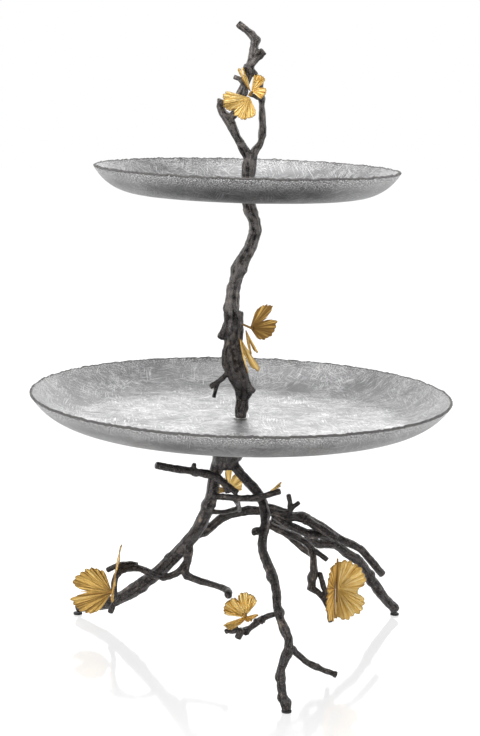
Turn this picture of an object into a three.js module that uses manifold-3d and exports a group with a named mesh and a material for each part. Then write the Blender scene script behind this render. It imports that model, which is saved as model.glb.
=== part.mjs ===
// A two-tier serving stand: two round metal dishes on a branching cast stem, with fan-leaf butterflies.
// Millimetres, +Z up. The origin is on the table, under the axis that the dishes share.
import * as THREE from "three";
import { mergeVertices } from "three/addons/utils/BufferGeometryUtils.js";
import Module from "manifold-3d";

const wasm = await Module();
wasm.setup();

// ---- Driving dimensions ----
const LOWER_DISH = { rimRadius: 177.8, floorRadius: 135, rimHeight: 220, depth: 23.5, wall: 2 };
const UPPER_DISH = { rimRadius: 127, floorRadius: 91, rimHeight: 409.3, depth: 21.4, wall: 2 };
const HANDLE_HEIGHT = 138; // from the upper dish's floor to the top of the handle
const FOOT_SPREAD = 168; // from the axis to the front foot
const STUD = { radius: 2.5, engaged: 12, buried: 12 }; // M5, 0.8 mm pitch
const STUD_CLEARANCE = 0.3; // around a stud in its socket
const DISH_HOLE_CLEARANCE = 0.8; // around a stud where it passes through a dish
const WASHER = { radius: 6, height: 0.8 };
const SEAT_MARGIN = 4; // of the flat ring that a washer sits on, beyond its edge
const HUB = { radius: 15, height: 12 };
const STEM_FOOT_RADIUS = 4.8;
const HANDLE_FOOT_RADIUS = 4.8;
const FOOT_PAD = { radius: 4, height: 1.6 };
const LEAF_THICKNESS = 0.8;
const GAP = 0.3; // between pieces that touch
const TWIG_THICKNESS = 1; // scales the radius of every branch

// Heights that follow from them
const underside = (dish) => dish.rimHeight - dish.depth;
const floor = (dish) => underside(dish) + dish.wall;
const footOn = (dish) => floor(dish) + WASHER.height + 2 * GAP;

// The branches were laid out by hand at these sizes, and stretch with the real ones.
const LAID_OUT = {
  spread: 168,
  hubTop: 196.2,
  stemFoot: 199.9,
  stemTop: 387.6,
  handleFoot: 391.3,
  handleTop: 528,
};

const METAL = {
  bronze: { color: 0x3b3634, roughness: 0.45, metalness: 0.85 },
  steel: { color: 0x9a9a9a, roughness: 0.35, metalness: 1 },
  gold: { color: 0xc8963c, roughness: 0.35, metalness: 1 },
  zinc: { color: 0xb5b5b2, roughness: 0.4, metalness: 1 },
  rubber: { color: 0x1c1c1c, roughness: 0.9, metalness: 0 },
};

// ---- Solids ----
const stand = new THREE.Group();

function solid(geometry) {
  const bare = geometry.clone();
  bare.deleteAttribute("normal");
  bare.deleteAttribute("uv");
  const merged = mergeVertices(bare, 1e-4);
  const triVerts = new Uint32Array(merged.index.array);
  return new wasm.Manifold(
    new wasm.Mesh({ numProp: 3, vertProperties: merged.attributes.position.array, triVerts }),
  );
}

function geometryOf(manifold) {
  const { vertProperties, triVerts } = manifold.getMesh();
  const geometry = new THREE.BufferGeometry();
  geometry.setAttribute("position", new THREE.BufferAttribute(vertProperties, 3));
  geometry.setIndex(new THREE.BufferAttribute(triVerts, 1));
  geometry.computeVertexNormals();
  return geometry;
}

// The main body of a cut solid: a tip that pokes out beyond the neighbour that trimmed it is left off.
function mainBody(manifold) {
  const bodies = manifold.decompose();
  return bodies.sort((a, b) => b.volume() - a.volume())[0];
}

function addNode(name, manifold, metal) {
  const mesh = new THREE.Mesh(geometryOf(manifold), new THREE.MeshStandardMaterial(METAL[metal]));
  mesh.name = name;
  stand.add(mesh);
}

function upright(radius, bottom, top, sides = 24) {
  const geometry = new THREE.CylinderGeometry(radius, radius, top - bottom, sides);
  return solid(geometry.rotateX(Math.PI / 2).translate(0, 0, (top + bottom) / 2));
}

// A solid turned about the Z axis from a closed profile of [radius, height] corners.
function turned(corners, sides) {
  const profile = [...corners, corners[0]].map(([r, z]) => new THREE.Vector2(r, z));
  return solid(new THREE.LatheGeometry(profile, sides).rotateX(Math.PI / 2));
}

// ---- Branches ----
// A round branch along a smooth curve through its points. Its radius eases between the given radii,
// and each knot [share of the length, extra radius] swells it over a few millimetres.
function branchSolid({ points, radii, knots = [], sides = 8, step = 8 }, extra = 0) {
  const curve = new THREE.CatmullRomCurve3(points, false, "centripetal");
  const length = curve.getLength();
  const steps = Math.max(3, Math.round(length / step));
  const frames = curve.computeFrenetFrames(steps);
  const geometry = new THREE.CylinderGeometry(1, 1, 1, sides, steps);
  const position = geometry.attributes.position;
  const knotReach = 6;
  const radiusAt = (share) => {
    const place = share * (radii.length - 1);
    const low = Math.min(Math.floor(place), radii.length - 2);
    const eased = THREE.MathUtils.lerp(radii[low], radii[low + 1], place - low);
    const swell = (sum, [at, size]) => sum + size * Math.exp(-(((share - at) * length / knotReach) ** 2));
    return TWIG_THICKNESS * knots.reduce(swell, eased) + extra;
  };
  const vertex = new THREE.Vector3();
  for (let i = 0; i < position.count; i++) {
    vertex.fromBufferAttribute(position, i);
    const share = vertex.y + 0.5;
    const frame = Math.round(share * steps);
    const radius = radiusAt(share);
    const spot = curve.getPointAt(share);
    spot.addScaledVector(frames.normals[frame], radius * vertex.x);
    spot.addScaledVector(frames.binormals[frame], -radius * vertex.z);
    if (share === 0 || share === 1) spot.addScaledVector(frames.tangents[frame], share ? extra : -extra);
    position.setXYZ(i, spot.x, spot.y, spot.z);
  }
  return solid(geometry);
}

// Each assembly's pieces, with the room that they need, so that what is added later is cut clear of them.
const placed = { base: [], stem: [], handle: [] };

function meets(a, b) {
  const [p, q] = [a.boundingBox(), b.boundingBox()];
  return [0, 1, 2].every((i) => p.min[i] < q.max[i] && q.min[i] < p.max[i]);
}

function addFitted(assembly, name, shape, room, metal) {
  for (const other of placed[assembly]) if (meets(shape, other)) shape = shape.subtract(other);
  placed[assembly].push(room);
  addNode(name, mainBody(shape), metal);
}

function addBranch(assembly, name, branch) {
  const points = branch.points.map((point) => PLACE[assembly](...point));
  const spec = { ...branch, points };
  let shape = branchSolid(spec);
  let room = branchSolid(spec, GAP);
  for (const stub of branch.stubs ?? []) {
    const piece = { ...stub, points: stub.points.map((point) => PLACE[assembly](...point)), step: 6 };
    shape = shape.add(branchSolid(piece));
    room = room.add(branchSolid(piece, GAP));
  }
  if (branch.flatBetween) shape = shape.intersect(upright(LOWER_DISH.rimRadius, ...branch.flatBetween));
  if (branch.socket) shape = shape.subtract(branch.socket);
  addFitted(assembly, name, shape, room, "bronze");
}

// Layout to real size: the base spreads and rises with the feet and hub, the others stretch along Z.
const stretch = (z, from, to) => to[0] + ((z - from[0]) * (to[1] - to[0])) / (from[1] - from[0]);
const hubTop = underside(LOWER_DISH) - GAP;
const stemTop = underside(UPPER_DISH) - GAP;
const handleTop = floor(UPPER_DISH) + HANDLE_HEIGHT;
const footEnd = FOOT_PAD.height + GAP;
const PLACE = {
  base: (x, y, z) => {
    const wide = FOOT_SPREAD / LAID_OUT.spread;
    return new THREE.Vector3(x * wide, y * wide, stretch(z, [0, LAID_OUT.hubTop], [0, hubTop]));
  },
  stem: (x, y, z) => {
    const height = stretch(z, [LAID_OUT.stemFoot, LAID_OUT.stemTop], [footOn(LOWER_DISH), stemTop]);
    return new THREE.Vector3(x, y, height);
  },
  handle: (x, y, z) => {
    const height = stretch(z, [LAID_OUT.handleFoot, LAID_OUT.handleTop], [footOn(UPPER_DISH), handleTop]);
    return new THREE.Vector3(x, y, height);
  },
};

// ---- Leaves ----
// A fan leaf: lobes [from, to, length, lean], in degrees about its stalk and millimetres, with a scalloped
// edge. A lobe's lean is the share of its length that it loses towards the leaf's outer side.
const LEAF = { stalk: 1.2, scallop: 0.04, scallops: 3, pointsPerLobe: 9, notch: 0.3 };

function leafOutline(lobes) {
  const at = (degrees, reach) => {
    const angle = THREE.MathUtils.degToRad(degrees);
    return new THREE.Vector2(reach * Math.cos(angle), reach * Math.sin(angle));
  };
  const outline = [at(lobes[0][0] - 60, LEAF.stalk)];
  lobes.forEach(([from, to, length, lean], lobe) => {
    if (lobe > 0) outline.push(at((from + lobes[lobe - 1][1]) / 2, LEAF.notch * length));
    for (let i = 0; i <= LEAF.pointsPerLobe; i++) {
      const share = i / LEAF.pointsPerLobe;
      const shoulder = 1 - 0.22 * (2 * share - 1) ** 4;
      const scallop = 1 - LEAF.scallop * Math.cos(2 * Math.PI * LEAF.scallops * share);
      const slant = 1 - lean * (lobe > 0 ? share : 1 - share);
      outline.push(at(from + (to - from) * share, length * shoulder * scallop * slant));
    }
  });
  outline.push(at(lobes.at(-1)[1] + 60, LEAF.stalk));
  return outline;
}

function addLeaf(assembly, name, { at, along, facing, lobes }) {
  const makeSolid = (room) => {
    const depth = LEAF_THICKNESS + 2 * room;
    const settings = { depth, bevelEnabled: false, steps: 1 };
    const geometry = new THREE.ExtrudeGeometry(new THREE.Shape(leafOutline(lobes)), settings);
    const x = new THREE.Vector3(...along).normalize();
    const z = new THREE.Vector3(...facing);
    z.addScaledVector(x, -z.dot(x)).normalize();
    const y = new THREE.Vector3().crossVectors(z, x);
    const turn = new THREE.Matrix4().makeBasis(x, y, z).setPosition(PLACE[assembly](...at));
    return solid(geometry.translate(0, 0, -depth / 2).applyMatrix4(turn));
  };
  addFitted(assembly, name, makeSolid(0), makeSolid(GAP), "gold");
}

// ---- Studs, washers and dishes ----
function stud(top, reach) {
  return upright(STUD.radius, top - STUD.buried + GAP, top + reach);
}

const studReach = (dish) => GAP + dish.wall + 2 * GAP + WASHER.height + STUD.engaged;
const socketRadius = STUD.radius + STUD_CLEARANCE;
const socketDown = (top) => upright(socketRadius, top - STUD.buried, top + 1);
const socketUp = (bottom) => upright(socketRadius, bottom - 1, bottom + STUD.engaged + 1);

function washer(dish) {
  const bottom = floor(dish) + GAP;
  return upright(WASHER.radius, bottom, bottom + WASHER.height).subtract(
    upright(socketRadius, bottom - 1, bottom + WASHER.height + 1),
  );
}

// A dish turned from one wall: a flat floor with the stud's hole, and a rounded side up to the rim.
function dishSolid({ rimRadius, floorRadius, rimHeight, depth, wall }) {
  const sideSteps = 7;
  const run = rimRadius - floorRadius;
  const sweep = 2 * Math.atan(depth / run);
  const radius = run / Math.sin(sweep);
  const side = (offset) =>
    Array.from({ length: sideSteps + 1 }, (_, i) => {
      const angle = (sweep * i) / sideSteps;
      const reach = radius - offset;
      return [floorRadius + reach * Math.sin(angle), rimHeight - depth + radius - reach * Math.cos(angle)];
    });
  const hole = STUD.radius + DISH_HOLE_CLEARANCE;
  const bottom = rimHeight - depth;
  const seat = WASHER.radius + SEAT_MARGIN;
  const outside = [[hole, bottom], ...side(0)];
  const inside = [...side(wall).reverse(), [seat, bottom + wall], [hole, bottom + wall]];
  return turned([...outside, ...inside], 64);
}

// ---- The base: hub, legs, feet and twigs ----
const FEET = {
  left: [-142, 69],
  right: [146, 93],
  front: [42, -163],
};

function addHub() {
  const boss = upright(HUB.radius, hubTop - HUB.height, hubTop);
  const trunk = branchSolid({
    points: [
      PLACE.base(0, 0, 190), PLACE.base(-6, 0, 176), PLACE.base(-12, -1, 163),
      PLACE.base(-13, -1, 156),
    ],
    radii: [12, 13, 12.5, 9],
    sides: 14,
    step: 6,
  });
  addFitted("base", "hub", boss.add(trunk).subtract(socketDown(hubTop)), boss.add(trunk), "bronze");
  addNode("hub_stud", stud(hubTop, studReach(LOWER_DISH)), "zinc");
}

// A leg stands on its pad: its last point is set from the pad, whatever the stand's height.
function addLeg(name, foot, leg) {
  const endRadius = leg.radii.at(-1) * TWIG_THICKNESS;
  const rest = leg.upright ? footEnd : footEnd + endRadius;
  const height = stretch(rest, [0, hubTop], [0, LAID_OUT.hubTop]);
  addBranch("base", name, { ...leg, points: [...leg.points, [...FEET[foot], height]] });
}

function addFootPads() {
  for (const [side, [x, y]] of Object.entries(FEET)) {
    const spot = PLACE.base(x, y, 0).toArray();
    const pad = upright(FOOT_PAD.radius, 0, FOOT_PAD.height, 16).translate(spot);
    const room = upright(FOOT_PAD.radius + GAP, 0, footEnd, 16).translate(spot);
    addFitted("base", `${side}_foot_pad`, pad, room, "rubber");
  }
}

function addLegs() {
  addLeg("left_leg", "left", {
    points: [
      [-17, 0, 166], [-20, 2, 151], [-24, 4, 124], [-35, 14, 96], [-51, 23, 73], [-74, 34, 47],
      [-110, 52, 18],
    ],
    radii: [5, 5.2, 5.6, 5.8, 5.8, 5.2, 4.6],
    knots: [[0.72, 0.8]],
  });
  addLeg("front_leg", "front", {
    points: [
      [-8, -3, 164], [0, -5, 153], [11, -10, 143], [20, -16, 132], [23, -34, 119], [21, -65, 102],
      [27, -84, 92], [32, -103, 82], [34, -127, 68], [43, -148, 50], [37, -156, 33], [39, -162, 12],
    ],
    radii: [4.2, 4, 3.8, 3.6, 3.4, 3.4],
    knots: [[0.52, 0.8], [0.83, 0.8]],
    upright: true,
    stubs: [{ points: [[22, -44, 113], [13, -44, 111]], radii: [2.8, 2.6] }],
  });
  addBranch("base", "back_arch", {
    points: [
      [-37, 16, 90], [-26, 27, 93], [-14, 35, 102], [2, 42, 106], [19, 45, 107], [37, 47, 104],
      [45, 49, 101],
    ],
    radii: [3.7, 3.8, 3.9, 3.9],
  });
  addBranch("base", "outer_right_branch", {
    points: [
      [45, 49, 101], [59, 52, 100], [76, 54, 91], [90, 56, 81], [110, 58, 71], [124, 60, 55],
      [131, 62, 47],
    ],
    radii: [3.8, 3.5, 3.4, 3.3],
    knots: [[0.12, 0.7]],
  });
  addBranch("base", "inner_right_branch", {
    points: [[31, 46, 102], [40, 47, 96], [51, 49, 91], [63, 51, 86], [74, 52, 85], [86, 52, 83]],
    radii: [3.4, 3.5, 4.1],
  });
  addLeg("right_leg", "right", {
    points: [
      [62, 52, 84], [70, 58, 75], [88, 64, 73], [98, 70, 64], [112, 76, 53], [124, 82, 34],
      [136, 87, 17],
    ],
    radii: [3.8, 4.2, 4.3, 4.2, 4.2],
    knots: [[0.78, 0.9]],
  });
}

function addTwigs() {
  addBranch("base", "upper_crossing_twig", {
    points: [
      [-70, -18, 160], [-54, -12, 156], [-38, -8, 153], [-21, -7, 149], [-8, -13, 142],
      [-1, -15, 137],
    ],
    radii: [3.1, 3, 2.9, 2.6],
    stubs: [{ points: [[-38, -8, 153], [-38, -8, 160]], radii: [2.2, 1.6] }],
  });
  addBranch("base", "front_crossing_twig", {
    points: [[-24, 2, 130], [-7, -11, 132], [10, -20, 134], [20, -23.5, 137], [35, -24, 142]],
    radii: [2.5, 2.6, 2.5, 2.3],
    knots: [[0.6, 0.5]],
  });
  addBranch("base", "lower_crossing_twig", {
    points: [[-25, 4, 116], [-15, 8, 114], [-7, 14, 114], [-2, 20, 114]],
    radii: [2.2, 2],
  });
  addBranch("base", "upright_fork_twig", {
    points: [[44, 48, 101], [46, 50, 107], [46, 50, 113], [44, 50, 121]],
    radii: [2.3, 2.1, 1.8],
  });
  addBranch("base", "side_fork_twig", {
    points: [[46, 50, 108], [54, 50, 114]],
    radii: [2.1, 1.7],
    step: 4,
  });
  addBranch("base", "left_wavy_twig", {
    points: [
      [-44, 11, 67], [-51, 15, 57], [-64, 17, 52], [-75, 17, 56], [-84, 19, 59],
      [-94, 22, 58], [-103, 26, 52], [-107, 28, 42], [-106, 29, 27], [-110, 29, 15],
    ],
    radii: [3, 3.1, 2.9, 2.7, 2.4],
    step: 7,
  });
  addBranch("base", "left_wavy_fork", {
    points: [[-86, 22, 61], [-98, 25, 61], [-108, 27, 57], [-113, 27, 54]],
    radii: [2.5, 2.2],
  });
  addBranch("base", "left_dropping_twig", {
    points: [
      [-42, 17, 81], [-42, 14, 70], [-45, 11, 58], [-36, 5, 55], [-18, -6, 53], [-7, -16, 52],
      [-6, -26, 50],
    ],
    radii: [3.6, 3.4, 2.7, 2.7, 2.6, 2.4],
    knots: [[0.38, 0.6], [0.88, 0.6]],
    step: 7,
  });
  addBranch("base", "front_leg_left_twig", {
    points: [[34, -127, 68], [23, -122, 63], [17, -118, 56], [10, -112, 49], [-4, -105, 45]],
    radii: [2.2, 2.2, 1.9],
    stubs: [{ points: [[23, -122, 63], [20, -124, 59]], radii: [2.4, 2.4] }],
  });
  addBranch("base", "front_leg_right_twig", {
    points: [[43, -148, 49], [57, -149, 36], [71, -150, 30], [80, -150, 27]],
    radii: [2.4, 2.2, 2],
  });
  addBranch("base", "hanging_twig", {
    points: [[23, -36, 117], [36, -35, 111], [52, -33, 104], [62, -30, 96], [65, -28, 80], [64, -25, 58]],
    radii: [3, 2.9, 2.7, 2.6],
    knots: [[0.96, 1]],
    stubs: [{ points: [[65, -30, 93], [70, -31, 90], [76, -33, 86]], radii: [1.9, 1.8] }],
  });
  addBranch("base", "hanging_back_twig", {
    points: [[28, -12, 113], [38, -10, 106], [46, -8, 97], [54, -8, 90], [63, -12, 84]],
    radii: [2.5, 2.6, 2.3],
  });
  addBranch("base", "hanging_twig_tip", {
    points: [[64, -25, 59], [73, -24, 52], [80, -24, 38], [81, -23, 29]],
    radii: [2.4, 2.3, 2],
  });
  addBranch("base", "small_hanging_twig", {
    points: [[71, -24, 72], [73, -24, 63], [76, -24, 55], [80, -25, 44]],
    radii: [1.8, 2, 1.8],
    step: 6,
  });
}

function addBaseLeaves() {
  addLeaf("base", "left_butterfly_wide_leaf", {
    at: [-109, 31, 33],
    along: [-1, 0.02, -0.02],
    facing: [0, -1, 0.6],
    lobes: [[-67, -4, 42, 0.46], [3, 58, 41, 0.42]],
  });
  addLeaf("base", "left_butterfly_side_leaf", {
    at: [-105, 21.5, 55],
    along: [0.07, -1, 0],
    facing: [1, 0.06, -0.14],
    lobes: [[-88, -8, 28, 0], [8, 88, 28, 0]],
  });
  addLeaf("base", "front_butterfly_wide_leaf", {
    at: [8, -124, 63.5],
    along: [-0.38, 0.1, 0.92],
    facing: [0, -1, 0.15],
    lobes: [[-58, -3, 21, 0.1], [3, 60, 20, 0.1]],
  });
  addLeaf("base", "front_butterfly_side_leaf", {
    at: [8.5, -126, 64.2],
    along: [-0.1, -1, -0.05],
    facing: [-0.33, 0.2, 1],
    lobes: [[-80, -5, 22, 0.12], [5, 75, 14, 0.1]],
  });
  addLeaf("base", "right_butterfly_wide_leaf", {
    at: [85, -34, 61],
    along: [1, -0.1, 0],
    facing: [0, -1, 0.15],
    lobes: [[-88, -14, 27, 0], [10, 92, 27, 0]],
  });
  addLeaf("base", "right_butterfly_side_leaf", {
    at: [84, -35, 61],
    along: [-0.33, -0.94, 0],
    facing: [0.94, -0.33, 0],
    lobes: [[-86, -8, 31, 0.14], [8, 84, 30, 0.1]],
  });
  addLeaf("base", "hub_butterfly_wide_leaf", {
    at: [-7, 10, 133],
    along: [0.1, 0.6, 0.6],
    facing: [1, -0.45, 0.3],
    lobes: [[-60, -4, 21, 0], [5, 60, 22, 0]],
  });
  addLeaf("base", "hub_butterfly_side_leaf", {
    at: [-9, 11, 132],
    along: [-0.8, 0.5, 0.35],
    facing: [-0.2, -0.8, 0.5],
    lobes: [[-40, -3, 14, 0], [5, 42, 14, 0]],
  });
  addLeaf("base", "crossing_twig_leaf", {
    at: [26, -28, 143],
    along: [0.75, -0.3, 0.5],
    facing: [-0.45, -0.2, 0.9],
    lobes: [[-15, -2, 13, 0], [3, 15, 13, 0]],
  });
}

// ---- The stem between the dishes ----
function addStem() {
  const foot = footOn(LOWER_DISH);
  addBranch("stem", "stem", {
    points: [
      [0, 0, 199], [0, 0, 208], [1, 0, 224], [-5, 0, 239], [-9, 0, 253], [-8, 0, 264],
      [-10, 0, 289], [-9, 0, 306],
      [-6, 0, 321], [-3, 0, 330], [5, 0, 346], [8, 0, 362], [3, 0, 375], [0, 0, 388.5],
    ],
    radii: [STEM_FOOT_RADIUS, 4.8, 7.4, 8.1, 7.6, 6.9, 6.4, 5.4, 4.9, 5.4, 5.1, 4.9, 4.9, 5.4],
    knots: [[0.67, 0.9]],
    sides: 12,
    flatBetween: [foot, stemTop],
    socket: socketUp(foot).add(socketDown(stemTop)),
  });
  addNode("stem_stud", stud(stemTop, studReach(UPPER_DISH)), "zinc");
  addBranch("stem", "stem_left_stub", {
    points: [[-8, -1, 264], [-13, -2, 268], [-18, -2, 269]],
    radii: [3, 2.6],
    step: 4,
  });
  addBranch("stem", "stem_upright_twig", {
    points: [[-4, -6, 262], [-2, -11, 268], [-2, -11, 291]],
    radii: [2.2, 2.1, 1.9],
  });
  addBranch("stem", "stem_low_twig", {
    points: [[-8, -4, 243], [-16, -8, 234], [-21, -10, 230], [-26, -12, 227]],
    radii: [2.2, 2.1, 1.9],
    step: 5,
    stubs: [{ points: [[-20, -10, 231], [-23, -10, 218]], radii: [1.8, 1.5] }],
  });
  addLeaf("stem", "stem_butterfly_wide_leaf", {
    at: [6, -14, 278],
    along: [1, -0.3, 0.05],
    facing: [0.25, -1, 0.2],
    lobes: [[-50, 28, 28, 0.5], [34, 71, 32, 0.44]],
  });
  addLeaf("stem", "stem_butterfly_side_leaf", {
    at: [3.2, -12.5, 276.5],
    along: [0.27, -0.35, -0.85],
    facing: [1, -0.6, 0.35],
    lobes: [[-18, -3, 24, 0], [4, 18, 22, 0]],
  });
  addLeaf("stem", "stem_butterfly_low_leaf", {
    at: [0, -13, 272],
    along: [0.23, -0.3, -1],
    facing: [1, -0.6, 0.35],
    lobes: [[-20, -2, 33, 0], [3, 20, 33, 0]],
  });
}

// ---- The handle above the upper dish ----
function addHandle() {
  addBranch("handle", "handle_trunk", {
    points: [[0, 0, 390.5], [1, 0, 402], [2, 0, 416], [3, 0, 421]],
    radii: [HANDLE_FOOT_RADIUS, 4.6, 5.8, 5],
    sides: 12,
    step: 5,
    flatBetween: [footOn(UPPER_DISH), handleTop],
    socket: socketUp(footOn(UPPER_DISH)),
  });
  addBranch("handle", "handle_left_prong", {
    points: [
      [1, 0, 415], [-2, 0, 423], [-10, -1, 436], [-16, -1, 448], [-22, -1, 455], [-24, -1, 461],
      [-23, -1, 465],
    ],
    radii: [3.6, 3.4, 3.3, 3.2, 3],
    knots: [[0.62, 0.7]],
    step: 6,
  });
  addBranch("handle", "handle_neck", {
    points: [
      [-17, -1, 449], [-12, 0, 453], [-10, 0, 461], [-8, 0, 470], [-5, 0, 476], [-1, 0, 485],
      [0, 0, 493],
    ],
    radii: [3, 3, 3.1, 3.3],
    knots: [[0.92, 0.7]],
    step: 6,
  });
  addBranch("handle", "handle_right_prong", {
    points: [
      [3, 0, 417], [7, 1, 425], [11, 2, 432], [12, 2, 441], [11, 2, 451], [10, 2, 466],
      [8, 1, 480], [0, 0, 492],
    ],
    radii: [3, 2.6, 2.5, 2.4, 2.3, 2.2],
    step: 7,
  });
  addBranch("handle", "handle_crown", {
    points: [[0, 0, 490], [1, 0, 499], [2, 0, 507], [3, 0, 515], [-2, 0, 520], [-8, 0, 525], [-11, 0, 527]],
    radii: [3.2, 2.9, 2.8, 2.8, 2.7, 2.8],
    knots: [[0.6, 0.6]],
    step: 5,
  });
  addBranch("handle", "handle_short_stub", {
    points: [[-2, -1, 490], [4, -2, 498], [11, -2, 505]],
    radii: [2.9, 3],
    step: 4,
  });
  addBranch("handle", "handle_front_twig", {
    points: [[-9, -1, 465], [-4, -6, 469], [-3, -7, 475], [-8, -7, 482], [-13, -6, 484]],
    radii: [2, 2, 1.9],
    step: 5,
  });
  addLeaf("handle", "handle_butterfly_wide_leaf", {
    at: [1, -10, 468],
    along: [-1, 0, 0],
    facing: [0, -1, 0.25],
    lobes: [[-12, 37, 23, 0], [42, 112, 21, 0.2]],
  });
  addLeaf("handle", "handle_butterfly_side_leaf", {
    at: [2, -9, 473],
    along: [1, -0.2, 0.45],
    facing: [-0.3, -1, 0.3],
    lobes: [[-62, -5, 13, 0], [5, 58, 14.5, 0]],
  });
  addLeaf("handle", "handle_butterfly_upright_leaf", {
    at: [1, -9, 473],
    along: [-0.47, 0.1, 0.88],
    facing: [0.85, -0.35, 0.45],
    lobes: [[-24, -3, 21, 0], [4, 26, 21, 0]],
  });
}

addFootPads();
addHub();
addLegs();
addTwigs();
addBaseLeaves();
addNode("lower_dish", dishSolid(LOWER_DISH), "steel");
addNode("stem_washer", washer(LOWER_DISH), "zinc");
addStem();
addNode("upper_dish", dishSolid(UPPER_DISH), "steel");
addNode("handle_washer", washer(UPPER_DISH), "zinc");
addHandle();

export default stand;
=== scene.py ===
"""A two-tier serving stand: hand-ground dishes on branching dark bronze, with gilt fan-leaf butterflies."""

import logging
import math
from contextlib import contextmanager
from dataclasses import dataclass
from enum import Enum
from typing import Iterable, Iterator, Sequence

import bpy
import numpy as np
from mathutils import Matrix, Vector, noise


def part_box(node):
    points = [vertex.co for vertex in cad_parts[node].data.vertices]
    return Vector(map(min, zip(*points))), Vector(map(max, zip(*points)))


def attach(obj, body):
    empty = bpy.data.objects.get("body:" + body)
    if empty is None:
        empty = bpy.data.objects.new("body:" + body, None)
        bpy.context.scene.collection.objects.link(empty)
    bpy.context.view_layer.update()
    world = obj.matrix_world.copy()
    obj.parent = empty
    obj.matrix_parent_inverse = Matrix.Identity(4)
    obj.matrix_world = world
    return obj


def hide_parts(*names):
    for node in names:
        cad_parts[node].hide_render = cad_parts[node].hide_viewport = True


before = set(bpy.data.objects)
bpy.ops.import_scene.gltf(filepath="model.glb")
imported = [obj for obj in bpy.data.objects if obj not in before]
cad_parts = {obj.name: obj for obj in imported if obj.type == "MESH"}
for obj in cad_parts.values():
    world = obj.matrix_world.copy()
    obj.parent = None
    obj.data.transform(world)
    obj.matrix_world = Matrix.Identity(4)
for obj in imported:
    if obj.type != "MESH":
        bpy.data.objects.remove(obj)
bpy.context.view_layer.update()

MM = 0.001
TAU = 2 * math.pi
LOG = logging.getLogger("stand")

Triple = tuple[float, float, float]
Lobe = tuple[float, float, float, float]
Number = "float | Value"


# ---------------------------------------------------------------- shader maths


class Value:
    """A socket of a shader's nodes, so that shader maths reads as Python expressions."""

    def __init__(self, graph: "NodeTree", socket: bpy.types.NodeSocket) -> None:
        """Wraps one output socket of a graph."""
        self.graph = graph
        self.socket = socket

    def _math(self, operation: str, *values: Number) -> "Value":
        """Adds a Math node for an operation on the given values."""
        return self.graph.node("ShaderNodeMath", {"operation": operation}, dict(enumerate(values)))

    def __add__(self, other: Number) -> "Value":
        """self + other."""
        return self._math("ADD", self, other)

    def __radd__(self, other: Number) -> "Value":
        """other + self."""
        return self._math("ADD", other, self)

    def __sub__(self, other: Number) -> "Value":
        """self - other."""
        return self._math("SUBTRACT", self, other)

    def __rsub__(self, other: Number) -> "Value":
        """other - self."""
        return self._math("SUBTRACT", other, self)

    def __mul__(self, other: Number) -> "Value":
        """self * other."""
        return self._math("MULTIPLY", self, other)

    def __rmul__(self, other: Number) -> "Value":
        """other * self."""
        return self._math("MULTIPLY", other, self)

    def larger(self, other: Number) -> "Value":
        """The larger of self and other."""
        return self._math("MAXIMUM", self, other)

    def size(self) -> "Value":
        """Self without its sign."""
        return self._math("ABSOLUTE", self)

    def step(self, low: float, high: float) -> "Value":
        """A smooth step from 0 at low to 1 at high; with low above high it falls instead."""
        settings = {"interpolation_type": "SMOOTHSTEP"}
        ends = {"Value": self, "From Min": low, "From Max": high}
        return self.graph.node("ShaderNodeMapRange", settings, ends)


class NodeTree:
    """The node tree of a material or of the world."""

    def __init__(self, owner: bpy.types.Material | bpy.types.World, end: str) -> None:
        """Starts with an output node only.

        Args:
            owner: the material or the world.
            end: the type of its output node.
        """
        owner.use_nodes = True
        self.tree = owner.node_tree
        self.tree.nodes.clear()
        self.end = self.tree.nodes.new(end)

    def node(
        self,
        kind: str,
        settings: dict[str, object] | None = None,
        inputs: dict[str | int, object] | None = None,
        output: str | int = 0,
    ) -> Value:
        """Adds a node.

        Args:
            kind: the node's type.
            settings: attributes of the node, set first.
            inputs: values or links for its sockets, by name or number.
            output: the socket to return.

        Returns:
            The wrapped output socket.
        """
        made = self.tree.nodes.new(kind)
        for key, setting in (settings or {}).items():
            setattr(made, key, setting)
        for key, given in (inputs or {}).items():
            self.feed(made.inputs[key], given)
        return Value(self, made.outputs[output])

    def feed(self, socket: bpy.types.NodeSocket, given: object) -> None:
        """Sets or links one socket."""
        if isinstance(given, Value):
            self.tree.links.new(given.socket, socket)
        elif isinstance(given, tuple) and len(given) == 3 and socket.type == "RGBA":
            socket.default_value = (*given, 1)
        else:
            socket.default_value = given

    def show(self, shader: Value) -> None:
        """Links a shader to the output."""
        self.feed(self.end.inputs["Surface"], shader)


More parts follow.
